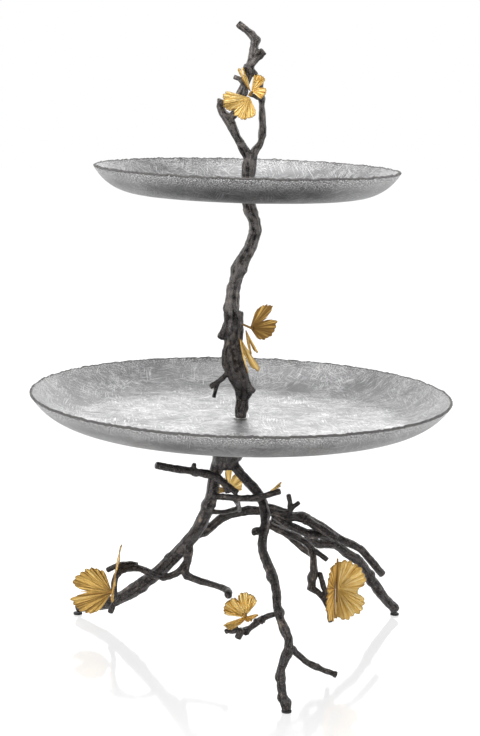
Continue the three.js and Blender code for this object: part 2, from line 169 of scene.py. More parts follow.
class Graph(NodeTree):
    """The node tree of one material, with the patterns that the finishes share."""

    def __init__(self, name: str) -> None:
        """Starts a new material."""
        self.material = bpy.data.materials.new(name)
        super().__init__(self.material, "ShaderNodeOutputMaterial")

    def principled(self, **inputs: object) -> bpy.types.Material:
        """Shows a Principled shader and returns the finished material.

        Args:
            inputs: values or links for its sockets; underscores in a name stand for spaces.
        """
        named_inputs = {name.replace("_", " "): given for name, given in inputs.items()}
        self.show(self.node("ShaderNodeBsdfPrincipled", {}, named_inputs))
        return self.material

    def object_place(self) -> Value:
        """Object coordinates, in metres."""
        return self.node("ShaderNodeTexCoord", output="Object")

    def uv(self, name: str) -> Value:
        """A UV map's coordinates."""
        return self.node("ShaderNodeUVMap", {"uv_map": name})

    def attribute(self, name: str, output: str = "Fac") -> Value:
        """A point attribute of the piece."""
        return self.node("ShaderNodeAttribute", {"attribute_name": name}, output=output)

    def noise(self, place: Value, scale: float, detail: float = 3, rough: float = 0.5) -> Value:
        """A noise pattern from 0 to 1."""
        inputs = {"Vector": place, "Scale": scale, "Detail": detail, "Roughness": rough}
        return self.node("ShaderNodeTexNoise", {}, inputs)

    def turned(self, place: Value, degrees: float, scale: Triple, shift: Triple = (0, 0, 0)) -> Value:
        """Coordinates turned about Z and shifted, then stretched."""
        turn = {"Vector": place, "Rotation": (0, 0, math.radians(degrees)), "Location": shift}
        whole = self.node("ShaderNodeMapping", {"vector_type": "POINT"}, turn)
        return self.node("ShaderNodeMapping", {"vector_type": "POINT"}, {"Vector": whole, "Scale": scale})

    def blend(self, share: Number, first: Triple | Value, second: Triple | Value) -> Value:
        """A mix of two colours."""
        settings = {"data_type": "RGBA", "clamp_factor": True}
        return self.node("ShaderNodeMix", settings, {0: share, 6: first, 7: second}, output=2)

    def bump(self, height: Value, strength: float, distance: float) -> Value:
        """A bumped normal."""
        inputs = {"Height": height, "Strength": strength, "Distance": distance}
        return self.node("ShaderNodeBump", {}, inputs)


# ---------------------------------------------------------------- finishes


@dataclass(frozen=True)
class DarkBronze:
    """Oxidised cast bronze with bark grain: near black in the grooves, brown on rubbed ridges.

    The body goes from dark at the legs to a paler grey at the stem and the handle.
    """

    groove: Triple = (0.007, 0.006, 0.007)
    body: Triple = (0.062, 0.058, 0.060)
    pale: Triple = (0.170, 0.160, 0.156)
    rubbed: Triple = (0.34, 0.27, 0.21)
    pale_from: float = 0.14
    pale_to: float = 0.38

    def make(self) -> bpy.types.Material:
        """Builds the material."""
        graph = Graph("dark_bronze")
        place = graph.object_place()
        grain = graph.attribute("grain", "Vector")
        relief = graph.attribute("relief")
        fibres = graph.noise(grain, 3.0, 4, 0.65)
        patches = graph.noise(place, 60, 3, 0.6)
        specks = graph.noise(place, 1100, 3, 0.75)
        grit = graph.noise(place, 520, 3, 0.7)
        tone = 0.5 * relief + 0.3 * fibres + 0.2 * grit
        height = graph.node("ShaderNodeSeparateXYZ", {}, {0: place}, 2)
        skin = graph.blend(height.step(self.pale_from, self.pale_to), self.body, self.pale)
        base = graph.blend(tone.step(0.36, 0.60), self.groove, skin)
        wear = tone.step(0.53, 0.68) * patches.step(0.50, 0.66)
        base = graph.blend(wear * 0.85, base, self.rubbed)
        base = graph.blend(specks.step(0.55, 0.66) * 0.6, base, self.rubbed)
        base = graph.blend(specks.step(0.44, 0.34) * 0.6, base, self.groove)
        rough = fibres * 0.45 + grit * 0.35 + specks * 0.2
        return graph.principled(
            Base_Color=base,
            Metallic=0.7,
            Roughness=0.14 + 0.22 * patches + 0.1 * grit,
            Normal=graph.bump(rough, 1.0, 0.0016),
        )


@dataclass(frozen=True)
class GroundSteel:
    """Hand-ground steel: crossing strokes of the grinder, a dark burnt rim, and a soft satin shine.

    Each layer of strokes has its direction in degrees, its shift, and its strokes per metre across.
    """

    dark: Triple = (0.135, 0.135, 0.137)
    light: Triple = (0.33, 0.33, 0.333)
    stroke: Triple = (0.97, 0.97, 0.97)
    # The outside face's colour: painted shade of the shaded floor that it mirrors, together with its
    # duller, darker metal.
    outside_shade_and_dull: Triple = (0.70, 0.70, 0.703)
    fleck: Triple = (0.95, 0.95, 0.94)
    rim: Triple = (0.11, 0.106, 0.104)
    layers: tuple[Triple, ...] = (
        (12, 1.3, 1250),
        (48, 3.1, 1500),
        (83, 5.7, 1100),
        (118, 7.9, 1600),
        (151, 9.2, 1350),
        (170, 11.4, 1000),
    )

    def strokes(self, graph: Graph, sheet: Value, degrees: float, seed: float, fine: float) -> Value:
        """One direction of grinding strokes, kept to its own patches.

        Args:
            graph: the material's graph.
            sheet: the flat coordinates of the sheet, in metres.
            degrees: the direction.
            seed: a shift that makes this layer unlike the others.
            fine: strokes per metre across.

        Returns:
            1 on a stroke and 0 off it.
        """
        arc = graph.noise(graph.turned(sheet, 0, (1, 1, 1), (seed, 0, 0)), 12, 1) - 0.5
        bent = graph.node("ShaderNodeVectorMath", {"operation": "ADD"}, {0: sheet, 1: arc * 0.02})
        stretched = graph.turned(bent, degrees, (fine * 0.045, fine, 1), (seed, seed, 0))
        lines = graph.noise(stretched, 1, 3, 0.7)
        patch = graph.noise(graph.turned(sheet, 0, (1, 1, 1), (0, seed, 0)), 30, 2, 0.6)
        return lines.step(0.55, 0.63) * patch.step(0.44, 0.56)

    def make(self) -> bpy.types.Material:
        """Builds the material."""
        graph = Graph("ground_steel")
        sheet = graph.uv("sheet")
        rim = graph.attribute("rim")
        edge = graph.attribute("edge")
        inner = graph.attribute("inner")
        clouds = graph.noise(sheet, 14, 4, 0.65)
        marks = self.strokes(graph, sheet, *self.layers[0])
        for layer in self.layers[1:]:
            marks = marks.larger(self.strokes(graph, sheet, *layer))
        first, second = (
            graph.noise(graph.turned(sheet, degrees, (60, 1500, 1)), 1, 2, 0.7) for degrees in (33, -52)
        )
        satin = first * 0.5 + second * 0.5
        base = graph.blend((clouds * 0.6 + satin * 0.4).step(0.3, 0.72), self.dark, self.light)
        base = graph.blend(marks * (0.3 + 0.5 * inner), base, self.stroke)
        # Painted shade: the outside face is multiplied darker to stand for the shaded floor under the dish
        # that it mirrors, and for its duller metal.
        multiply = {"data_type": "RGBA", "blend_type": "MULTIPLY"}
        outside_dull_and_shaded = graph.node("ShaderNodeMix", multiply, {0: 1.0, 6: base, 7: self.outside_shade_and_dull}, 2)
        base = graph.blend(inner, outside_dull_and_shaded, base)
        # Painted shade: the inside of the side is painted darker the further it is from the floor.
        base = graph.blend(graph.attribute("painted_wall_shade") * inner * 0.42, base, self.dark)
        pits = graph.noise(sheet, 700, 3, 0.7)
        flecks = graph.noise(sheet, 1000, 2, 0.75)
        base = graph.blend(flecks.step(0.52, 0.58) * edge * (0.95 - 0.35 * inner), base, self.fleck)
        base = graph.blend(pits.step(0.54, 0.62) * edge * 0.7, base, self.rim)
        burnt = (rim + (pits - 0.5) * 1.4).step(0.45, 0.85)
        base = graph.blend(burnt, base, self.rim)
        height = satin * 0.6 + marks * 0.5 + pits * 0.25
        return graph.principled(
            Base_Color=base,
            Metallic=1.0,
            Roughness=0.30 + 0.14 * clouds + 0.08 * satin + 0.15 * burnt,
            Normal=graph.bump(height, 0.45, 0.0004),
        )


@dataclass(frozen=True)
class LeafGilt:
    """Satin gilt brass with fan veins: warm gold, browner in the folds and near the stalk."""

    gold: Triple = (0.82, 0.545, 0.165)
    bright: Triple = (1.0, 0.80, 0.38)
    brown: Triple = (0.29, 0.165, 0.05)

    def make(self) -> bpy.types.Material:
        """Builds the material."""
        graph = Graph("leaf_gilt")
        fan = graph.uv("fan")
        relief = graph.attribute("relief")
        place = graph.object_place()
        veins = graph.noise(graph.turned(fan, 0, (60, 1.8, 1)), 1, 3, 0.65)
        clouds = graph.noise(place, 140, 3, 0.6)
        grit = graph.noise(place, 1900, 2, 0.7)
        # Painted light and shade: each leaf's tone lightens or darkens its whole colour to stand for how
        # brightly it is lit, and also makes it smoother.
        shine = graph.attribute("tone")
        verge = graph.attribute("verge")
        tone = 0.45 * relief + 0.35 * veins + 0.2 * clouds + (shine - 0.45) * 0.28
        base = graph.blend(tone.step(0.30, 0.52), self.brown, self.gold)
        base = graph.blend(tone.step(0.52, 0.74), base, self.bright)
        base = graph.blend(veins.step(0.46, 0.38) * 0.6, base, self.brown)
        base = graph.blend((verge * (clouds + 0.35)).step(0.45, 0.85) * 0.6, base, self.brown)
        height = veins * 1.0 + grit * 0.25
        return graph.principled(
            Base_Color=base,
            Metallic=1.0,
            Roughness=0.42 + 0.18 * clouds - 0.28 * shine,
            Normal=graph.bump(height, 0.8, 0.0009),
        )


@dataclass(frozen=True)
class ZincPlate:
    """Bright zinc on the studs and washers."""

    colour: Triple = (0.62, 0.62, 0.60)
    worn: Triple = (0.42, 0.41, 0.38)

    def make(self) -> bpy.types.Material:
        """Builds the material."""
        graph = Graph("zinc_plate")
        place = graph.object_place()
        clouds = graph.noise(place, 400, 3, 0.6)
        return graph.principled(
            Base_Color=graph.blend(clouds.step(0.35, 0.7), self.worn, self.colour),
            Metallic=1.0,
            Roughness=0.28 + 0.15 * clouds,
            Normal=graph.bump(graph.noise(place, 2500, 2), 0.2, 0.0002),
        )


@dataclass(frozen=True)
class PadRubber:
    """Matt black rubber of the foot pads."""

    black: Triple = (0.012, 0.012, 0.012)
    dusty: Triple = (0.035, 0.034, 0.033)

    def make(self) -> bpy.types.Material:
        """Builds the material."""
        graph = Graph("pad_rubber")
        place = graph.object_place()
        dust = graph.noise(place, 900, 3, 0.65)
        return graph.principled(
            Base_Color=graph.blend(dust.step(0.45, 0.7), self.black, self.dusty),
            Roughness=0.7 + 0.15 * dust,
            Normal=graph.bump(dust, 0.3, 0.0003),
        )


class Finish(Enum):
    """The finishes, each with the record's material slot that it belongs to."""

    BRONZE = "dark_bronze"
    STEEL = "brushed_dish"
    GILT = "leaf_gold"
    ZINC = "fastener"
    RUBBER = "rubber"


class Finishes:
    """Makes each finish once and dresses pieces with it."""

    def __init__(self) -> None:
        """Builds every material."""
        makers = {
            Finish.BRONZE: DarkBronze(),
            Finish.STEEL: GroundSteel(),
            Finish.GILT: LeafGilt(),
            Finish.ZINC: ZincPlate(),
            Finish.RUBBER: PadRubber(),
        }
        self.materials = {finish: maker.make() for finish, maker in makers.items()}

    def dress(self, piece: bpy.types.Object, finish: Finish, body: str, *nodes: str) -> bpy.types.Object:
        """Gives a piece its material, and puts it on its body in place of CAD nodes.

        Args:
            piece: the finished mesh.
            finish: its only finish.
            body: the body that it rides on.
            nodes: the CAD nodes that it replaces.

        Returns:
            The same piece.
        """
        piece.data.materials.clear()
        piece.data.materials.append(self.materials[finish])
        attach(piece, body)
        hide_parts(*nodes)
        return piece


# ---------------------------------------------------------------- mesh work


def clear_selection() -> None:
    """Deselects every object."""
    for other in bpy.context.selected_objects:
        other.select_set(False)


def pick_only(piece: bpy.types.Object) -> None:
    """Makes a piece the only selected object, and the active one."""
    clear_selection()
    piece.select_set(True)
    bpy.context.view_layer.objects.active = piece


@contextmanager
def editing(mode: str = "VERT", action: str = "SELECT") -> Iterator[None]:
    """Edit mode for the active object, with a selection mode and all of it selected or not."""
    bpy.ops.object.mode_set(mode="EDIT")
    bpy.ops.mesh.select_mode(type=mode)
    bpy.ops.mesh.select_all(action=action)
    yield
    bpy.ops.object.mode_set(mode="OBJECT")


def named(name: str) -> bpy.types.Object:
    """Names the active object and its mesh, and returns it."""
    piece = bpy.context.active_object
    piece.name = name
    piece.data.name = name
    return piece


def place_applied(piece: bpy.types.Object) -> None:
    """Moves a piece's place, turn and scale into its mesh."""
    pick_only(piece)
    bpy.ops.object.transform_apply(location=True, rotation=True, scale=True)


def apply_modifier(piece: bpy.types.Object, kind: str, **settings: object) -> None:
    """Adds a modifier and applies it."""
    pick_only(piece)
    modifier = piece.modifiers.new(kind.lower(), kind)
    for key, setting in settings.items():
        setattr(modifier, key, setting)
    bpy.ops.object.modifier_apply(modifier=modifier.name)


def merge_doubles(piece: bpy.types.Object, distance: float = 1e-6, outwards: bool = False) -> None:
    """Merges a mesh's doubled vertices, and turns its faces outwards where asked."""
    pick_only(piece)
    with editing():
        bpy.ops.mesh.remove_doubles(threshold=distance)
        if outwards:
            bpy.ops.mesh.normals_make_consistent(inside=False)


def shade_smooth(piece: bpy.types.Object, angle: float | None = None) -> None:
    """Shades a piece smooth, with edges sharper than an angle in degrees kept sharp."""
    pick_only(piece)
    if angle is None:
        bpy.ops.object.shade_smooth()
    else:
        bpy.ops.object.shade_smooth_by_angle(angle=math.radians(angle))


def corners(piece: bpy.types.Object, kind: str = "co") -> np.ndarray:
    """A mesh's vertices as rows of x, y and z, or their normals."""
    flat = np.empty(len(piece.data.vertices) * 3, np.float32)
    piece.data.vertices.foreach_get(kind, flat)
    return flat.reshape(-1, 3)


def set_corners(piece: bpy.types.Object, places: np.ndarray) -> None:
    """Moves a mesh's vertices."""
    piece.data.vertices.foreach_set("co", places.astype(np.float32).ravel())
    piece.data.update()


def keep_numbers(piece: bpy.types.Object, name: str, numbers: np.ndarray) -> None:
    """Stores a number or a vector for each vertex under a name."""
    vector = numbers.ndim == 2
    stored = piece.data.attributes.new(name, "FLOAT_VECTOR" if vector else "FLOAT", "POINT")
    stored.data.foreach_set("vector" if vector else "value", numbers.astype(np.float32).ravel())


def rows_of(*columns: np.ndarray | float) -> np.ndarray:
    """Columns side by side as rows; a single number fills its column."""
    return np.stack(np.broadcast_arrays(*columns), 1)


def noise_at(places: np.ndarray) -> np.ndarray:
    """Smooth noise from -1 to 1 at each row of places."""
    return np.array([noise.noise(place) for place in places.tolist()], np.float32)


def keep_uv(piece: bpy.types.Object, name: str, per_vertex: np.ndarray) -> None:
    """Stores a UV map that is given for each vertex."""
    layer = piece.data.uv_layers.new(name=name)
    of_loop = np.empty(len(piece.data.loops), np.int32)
    piece.data.loops.foreach_get("vertex_index", of_loop)
    layer.data.foreach_set("uv", per_vertex[of_loop].astype(np.float32).ravel())


def spun(name: str, profile: Sequence[tuple[float, float]], steps: int) -> bpy.types.Object:
    """Turns a closed profile of (radius, height) points about the Z axis.

    Args:
        name: the new piece's name.
        profile: the points, in metres, in order round the section.
        steps: how many segments the turn has.

    Returns:
        The new piece, with its faces outwards.
    """
    clear_selection()
    bpy.ops.mesh.primitive_plane_add(size=MM, location=(0, 0, 0))
    piece = named(name)
    with editing():
        bpy.ops.mesh.merge(type="CENTER")
        here = Vector((profile[0][0], 0, profile[0][1]))
        bpy.ops.transform.translate(value=here)
        for radius, height in [*profile[1:], profile[0]]:
            there = Vector((radius, 0, height))
            bpy.ops.mesh.extrude_region_move(TRANSFORM_OT_translate={"value": there - here})
            here = there
    merge_doubles(piece)
    with editing():
        bpy.ops.mesh.spin(steps=steps, angle=TAU, center=(0, 0, 0), axis=(0, 0, 1))
    merge_doubles(piece, outwards=True)
    return piece


# ---------------------------------------------------------------- castings


@dataclass(frozen=True)
class Knot:
    """A swelling where a shoot broke off, in millimetres: its place, reach and height."""

    place: Triple
    reach: float = 3.2
    height: float = 1.5


@dataclass(frozen=True)
class Snag:
    """A short broken shoot, as a tapered rod from one point to another, in millimetres."""

    start: Triple
    end: Triple
    thick: float = 2.0
    thin: float = 1.6

    def build(self) -> bpy.types.Object:
        """Makes the rod as a tapered cone."""
        start, end = Vector(self.start) * MM, Vector(self.end) * MM
        reach = end - start
        clear_selection()
        bpy.ops.mesh.primitive_cone_add(
            vertices=14,
            radius1=self.thick * MM,
            radius2=self.thin * MM,
            depth=reach.length,
            location=(start + end) / 2,
            rotation=reach.to_track_quat("Z", "Y").to_euler(),
        )
        rod = named("snag")
        place_applied(rod)
        return rod


@dataclass
class Casting:
    """Branches of one casting, fused from their CAD solids and given the grain and lumps of bark.

    Attributes:
        name: the piece's name.
        body: the body that it rides on.
        nodes: the CAD branches that it stands for.
        knots: swellings along the branches.
        snags: broken shoots that are too small to be CAD nodes.
        voxel: the size of the mesh's cells, in metres.
        swell: how far the solids grow so that they fuse across their gaps and outlast the softening.
        soften: how often the skin is smoothed.
        grain_depth: how deep the bark's grooves are.
        lump_depth: how high its lumps are.
        grain_round: how closely the grooves stand round a branch.
        grain_along: how often they end along it, per metre.
        lumps_each, swells_each: how often the lumps and the slow swells come, per metre.
        knob_height, knobs_each: how high the scattered knobs are, and how often they come, per metre.
    """

    name: str
    body: str
    nodes: tuple[str, ...]
    knots: tuple[Knot, ...] = ()
    snags: tuple[Snag, ...] = ()
    voxel: float = 0.6 * MM
    swell: float = 0.15 * MM
    soften: int = 6
    grain_depth: float = 0.85 * MM
    lump_depth: float = 1.2 * MM
    grain_round: float = 2.6
    grain_along: float = 60.0
    lumps_each: float = 260.0
    swells_each: float = 105.0
    knob_height: float = 3.4 * MM
    knobs_each: float = 95.0

    def copy_of(self, node: str) -> bpy.types.Object:
        """A merged copy of a CAD branch."""
        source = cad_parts[node]
        piece = bpy.data.objects.new(f"{node}_copy", source.data.copy())
        bpy.context.scene.collection.objects.link(piece)
        merge_doubles(piece)
        return piece

    def fused(self) -> bpy.types.Object:
        """All branches as one closed, softened skin."""
        parts = [self.copy_of(node) for node in self.nodes] + [snag.build() for snag in self.snags]
        pick_only(parts[0])
        for part in parts:
            part.select_set(True)
        bpy.ops.object.join()
        piece = named(self.name)
        piece.data.materials.clear()
        apply_modifier(piece, "DISPLACE", strength=self.swell, mid_level=0.0)
        apply_modifier(piece, "REMESH", mode="VOXEL", voxel_size=self.voxel)
        apply_modifier(piece, "SMOOTH", factor=0.5, iterations=self.soften)
        return piece

    def add_bark(self, piece: bpy.types.Object) -> None:
        """Carves grain that runs along each branch, and lumps, and keeps both for the finish."""
        places, facing = corners(piece), corners(piece, "normal")
        grain = facing * self.grain_round + places * self.grain_along
        fibres = noise_at(grain * 1.2)
        fine = noise_at(grain * 2.9 + 11.0)
        lumps = noise_at(places * self.lumps_each + 5.0)
        swells = noise_at(places * self.swells_each + 21.0)
        knobs = np.clip(noise_at(places * self.knobs_each + 41.0) - 0.3, 0, 1)
        relief = 0.65 * fibres + 0.35 * fine
        ridged = 1 - 2 * np.abs(relief)
        rise = self.grain_depth * (0.45 * relief + 0.25 * ridged)
        rise += self.lump_depth * (0.3 * lumps + 0.4 * swells) + self.knob_height * knobs
        for knot in self.knots:
            away = np.linalg.norm(places / MM - np.array(knot.place), axis=1) / knot.reach
            rise += knot.height * MM * np.exp(-(away**2))
        set_corners(piece, places + facing * rise[:, None])
        keep_numbers(piece, "grain", grain)
        keep_numbers(piece, "relief", np.clip(0.5 + 0.6 * relief + 0.25 * lumps, 0, 1))

    def build(self, finishes: Finishes) -> bpy.types.Object:
        """Makes, dresses and attaches the casting."""
        piece = self.fused()
        self.add_bark(piece)
        shade_smooth(piece)
        return finishes.dress(piece, Finish.BRONZE, self.body, *self.nodes)


# ---------------------------------------------------------------- dishes


@dataclass
class Dish:
    """A shallow round dish, turned from one sheet, with a ragged burnt rim.

    Attributes:
        node: the CAD dish, which gives the rim's radius and the height.
        body: the body that it rides on.
        floor_radius: where the flat floor ends and the rounded side starts.
        depth: how far the rim's edge stands above the bottom.
        wall: the sheet's thickness.
        hole_radius: the stud's hole.
        segments, side_steps, floor_steps: how many steps go round, up the side and across the floor.
        rim_ragged: how far the rim's edge wanders, and rim_reach is how far in from the edge it does.
        uneven: how far the side wanders from its true round.
        wall_shade_reach: how far out from the floor the painted shade on the inside of the side takes to
            reach its full depth.
        fleck_reach: how far in from the edge the bright flecks go.
    """

    node: str
    body: str
    floor_radius: float
    depth: float
    wall: float = 2.0 * MM
    hole_radius: float = 3.3 * MM
    segments: int = 600
    side_steps: int = 18
    floor_steps: int = 7
    rim_ragged: float = 1.0 * MM
    rim_reach: float = 1.7 * MM
    uneven: float = 0.12 * MM
    wall_shade_reach: float = 9 * MM
    fleck_reach: float = 13 * MM

    def __post_init__(self) -> None:
        """Reads the dish's size from its CAD node."""
        low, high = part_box(self.node)
        self.rim_radius = high.x
        self.bottom = low.z
        self.rim_height = low.z + self.depth
        run = self.rim_radius - self.floor_radius
        self.sweep = 2 * math.atan(self.depth / run)
        self.bend = run / math.sin(self.sweep)

    def side(self, inset: float) -> list[tuple[float, float]]:
        """The rounded side's points from the floor to the rim, inset from the outer face."""
        reach = self.bend - inset
        angles = [self.sweep * i / self.side_steps for i in range(self.side_steps + 1)]
        centre = self.bottom + self.bend
        return [(self.floor_radius + reach * math.sin(a), centre - reach * math.cos(a)) for a in angles]

    def flat(self, height: float) -> list[tuple[float, float]]:
        """The floor's points from the hole outwards at a height."""
        step = (self.floor_radius - self.hole_radius) / self.floor_steps
        return [(self.hole_radius + step * i, height) for i in range(self.floor_steps)]

    def profile(self) -> list[tuple[float, float]]:
        """The whole section, outer face first."""
        outer = self.flat(self.bottom) + self.side(0)
        inner = self.flat(self.bottom + self.wall) + self.side(self.wall)
        lip = [(0.5 * (outer[-1][0] + inner[-1][0]), 0.5 * (outer[-1][1] + inner[-1][1]))]
        return outer + lip + inner[::-1]

    def add_rim(self, piece: bpy.types.Object) -> None:
        """Makes the rim ragged, the sheet slightly uneven, and keeps what the finish reads."""
        places = corners(piece)
        radius = np.hypot(places[:, 0], places[:, 1])
        around = np.arctan2(places[:, 1], places[:, 0])
        drop = self.bottom + self.bend - places[:, 2]
        angle = np.arctan2(radius - self.floor_radius, drop)
        on_side = radius > self.floor_radius
        along = np.where(on_side, self.floor_radius + self.bend * angle, radius)
        full = self.floor_radius + self.bend * self.sweep
        near_rim = np.clip(1 - (full - along) / self.rim_reach, 0, 1)
        out = np.stack([np.cos(around), np.sin(around)], 1)
        circle = np.column_stack([out, np.zeros_like(around)]) * self.rim_radius
        fine = noise_at(circle * 420.0)
        coarse = noise_at(circle * 110.0 + 3.0)
        nicks = np.clip(noise_at(circle * 230.0 + 9.0) - 0.35, 0, 1)
        ragged = self.rim_ragged * (0.8 * fine + 0.7 * coarse - 2.2 * nicks) * near_rim
        bumps = self.rim_ragged * 0.8 * noise_at(places * 480.0 + 31.0) * near_rim
        uneven = self.uneven * noise_at(places * 45.0 + 7.0) * on_side
        outwards = np.minimum(ragged, 0) * 0.4 + np.minimum(bumps, 0.1 * MM) + uneven
        places[:, 2] += ragged + uneven
        places[:, :2] += out * outwards[:, None]
        set_corners(piece, places)
        keep_numbers(piece, "rim", np.clip(near_rim * 1.15 - 0.1, 0, 1))
        sheet_middle = self.bend - 0.5 * self.wall
        gap = np.hypot(radius - self.floor_radius, drop) - sheet_middle
        from_floor = self.bend - drop
        inside = np.where(on_side, gap < 0, from_floor > 0.5 * self.wall)
        keep_numbers(piece, "inner", inside.astype(float))
        # Painted shade for the inside of the side: 0 at the floor, rising to 1 further out.
        keep_numbers(piece, "painted_wall_shade", np.clip((along - self.floor_radius) / self.wall_shade_reach, 0, 1))
        keep_numbers(piece, "edge", np.clip(1 - (full - along) / self.fleck_reach, 0, 1) ** 0.7)
        keep_uv(piece, "sheet", out * along[:, None])

    def build(self, finishes: Finishes) -> bpy.types.Object:
        """Makes, dresses and attaches the dish."""
        piece = spun(f"{self.node}_sheet", self.profile(), self.segments)
        self.add_rim(piece)
        shade_smooth(piece, 50)
        return finishes.dress(piece, Finish.STEEL, self.body, self.node)


# ---------------------------------------------------------------- leaves


@dataclass
class Leaf:
    """A fan leaf of two lobes, pressed from sheet, ribbed from the stalk and scalloped along its edge.

    Attributes:
        node: the CAD leaf, which gives the place.
        along: the direction from the stalk to the middle of the fan.
        facing: the direction that the upper face looks in.
        lobes: each lobe's first and last angle about the stalk in degrees, its length in millimetres, and
            the share of that length which it loses towards the leaf's outer side.
        teeth: scallops along a lobe's edge.
        rib: the height of the ribs.
        notch, cleft: where the cut between the lobes ends, as a share of the length, and its half width
            in degrees.
        cup, fold: how far the leaf cups upwards, and how far its sides fold up, as shares of its length.
        wave, waves: how far the edge waves, and how often.
        phase: a shift that makes this leaf unlike the others.
        columns, rows: the points across each lobe, and from the stalk to the edge.
        stalk, thickness: how far from the stalk's point the blade starts, and the sheet's thickness.
        widen: how far each lobe's sides reach beyond the CAD leaf's, in degrees.
        tone: painted light and shade of the whole leaf, about 0 for a leaf painted brown as in shade and 1
            for one painted bright as if lit; it also makes the leaf smoother.
        spine: the gilt rod that joins the leaf to its twig or to its neighbour.
    """

    node: str
    body: str
    along: Triple
    facing: Triple
    lobes: tuple[Lobe, Lobe]
    teeth: int = 8
    rib: float = 0.55
    cleft: float = 7.0
    cup: float = 0.12
    fold: float = 0.10
    wave: float = 1.3
    waves: float = 2.6
    phase: float = 0.0
    columns: int = 56
    rows: int = 26
    notch: float = 0.5
    stalk: float = 0.5
    thickness: float = 0.75
    widen: float = 1.8
    tone: float = 0.45
    spine: Snag | None = None

    def spread(self) -> tuple[np.ndarray, np.ndarray]:
        """The fan's columns: the angle and the reach of each."""
        angles, reaches = [], []
        for number, (first, last, length, lean) in enumerate(self.lobes):
            start, end = first - self.widen, last + self.widen
            share = np.linspace(0, 1, self.columns)
            shoulder = 1 - 0.22 * (2 * share - 1) ** 4
            shoulder *= 1 - lean * (share if number else 1 - share)
            tooth = 1 - 0.07 * (1 - np.abs(np.sin(math.pi * self.teeth * share + 0.4 * number)) ** 0.7)
            if number:
                middle = 0.5 * (first + self.lobes[0][1])
                angles.append([middle])
                reaches.append([self.notch * length])
            bearing = start + (end - start) * share
            centre = 0.5 * (self.lobes[1][0] + self.lobes[0][1])
            cut = (1 - self.notch) * np.exp(-(((bearing - centre) / self.cleft) ** 2))
            angles.append(bearing)
            ragged = 1 + 0.07 * noise_at(rows_of(share * 9, self.phase * 3 + number, 0))
            reaches.append(length * shoulder * tooth * (1 - cut) * ragged)
        return np.radians(np.concatenate(angles)), np.concatenate(reaches)

    def turn(self) -> Matrix:
        """The turn from the leaf's own plane to the stand's frame."""
        x = Vector(self.along).normalized()
        z = Vector(self.facing)
        z = (z - x * z.dot(x)).normalized()
        y = z.cross(x)
        return Matrix((x, y, z)).transposed()

    def origin(self, flat: np.ndarray) -> np.ndarray:
        """Where the stalk goes, so that the flat leaf fills its CAD node's box."""
        low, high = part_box(self.node)
        half = 0.5 * (np.array(low) + np.array(high))
        return half - 0.5 * (flat.min(0) + flat.max(0))

    def build(self, finishes: Finishes) -> bpy.types.Object:
        """Makes, dresses and attaches the leaf."""
        angle, reach = self.spread()
        wide = len(angle)
        clear_selection()
        bpy.ops.mesh.primitive_grid_add(x_subdivisions=wide - 1, y_subdivisions=self.rows - 1, size=1)
        piece = named(f"{self.node}_blade")
        grid = corners(piece)
        column = np.clip(np.rint((grid[:, 0] + 0.5) * (wide - 1)).astype(int), 0, wide - 1)
        row = grid[:, 1] + 0.5
        theta = angle[column]
        distance = self.stalk + (reach[column] - self.stalk) * row
        length = max(lobe[2] for lobe in self.lobes)
        out = distance / length
        middle = math.radians(0.5 * (self.lobes[0][1] + self.lobes[1][0]))
        side = theta - middle
        ribs = np.sin(side * 26 + 1.8 * np.sin(side * 7 + self.phase))
        ribs = ribs * 0.5 + noise_at(rows_of(side * 26, out * 1.2, self.phase)) * 1.3
        ribs += noise_at(rows_of(side * 64, out * 2.0, self.phase)) * 0.7
        ripple = np.sin(side * TAU * self.waves / 2.2 + self.phase) * out**2.2
        edge = noise_at(rows_of(side * 6, out * 2, self.phase + 7)) * out**2
        lift = (
            self.rib * ribs * np.clip(out * 1.8, 0, 1) * 0.5
            + self.cup * length * (out**2) * 0.5
            + self.fold * distance * np.abs(side)
            + self.wave * (0.8 * ripple + 1.2 * edge)
        )
        x, y = distance * np.cos(theta), distance * np.sin(theta)
        turn = np.array(self.turn())
        flat = (rows_of(x, y, 0) @ turn.T) * MM
        shaped = (rows_of(x, y, lift - np.average(lift, weights=out)) @ turn.T) * MM
        set_corners(piece, shaped + self.origin(flat))
        keep_numbers(piece, "relief", np.clip(0.5 + 0.4 * ribs, 0, 1) * np.clip(0.35 + out * 1.6, 0, 1))
        # Each leaf's painted light and shade, which the gilt reads.
        keep_numbers(piece, "tone", np.full_like(out, self.tone))
        keep_numbers(piece, "verge", np.clip((row - 0.86) / 0.14, 0, 1))
        keep_uv(piece, "fan", np.stack([side, out], 1))
        apply_modifier(piece, "SOLIDIFY", thickness=self.thickness * MM, offset=0.0, use_even_offset=False)
        merge_doubles(piece, 0.001 * MM)
        if self.spine:
            rod = self.spine.build()
            pick_only(piece)
            rod.select_set(True)
            bpy.ops.object.join()
        shade_smooth(piece, 55)
        return finishes.dress(piece, Finish.GILT, self.body, self.node)


# ---------------------------------------------------------------- small parts


